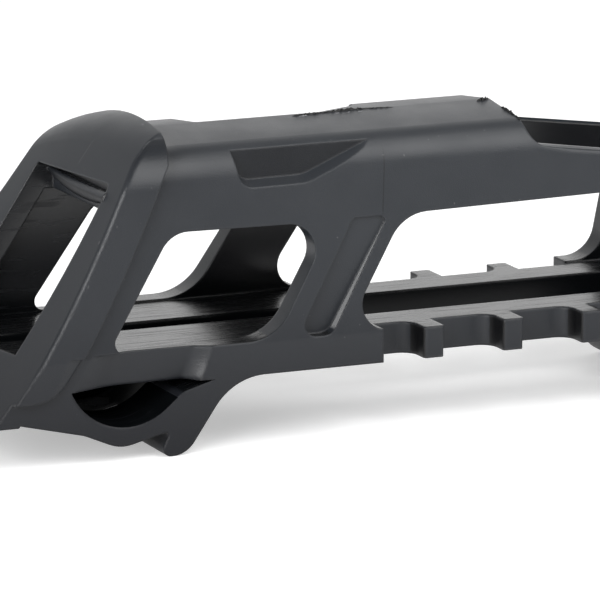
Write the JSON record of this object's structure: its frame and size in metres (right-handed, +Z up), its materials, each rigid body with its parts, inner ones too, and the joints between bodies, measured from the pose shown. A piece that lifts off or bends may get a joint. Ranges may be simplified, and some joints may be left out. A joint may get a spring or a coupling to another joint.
{
  "type": "motorcycle chain guide",
  "caption": "Moulded chain guide block: a slanted rimmed mouth leads into a windowed tunnel over a slotted deck with ribbed rails, and split arms below take the bolts.",
  "frame": {"origin": "centre of the front one of the two rear bolt bores, midway across the guide", "axes": "+X along the chain from the mouth to the tail, +Z up from the deck, +Y away from the outer side of the motorcycle"},
  "size_m": [0.1513, 0.0414, 0.0507],
  "materials": {
    "moulding": "fine spark-eroded matte, smoother on the running surfaces"
  },
  "bodies": {
    "root": {"chain_guide": "moulding"}
  },
  "joints": []
}
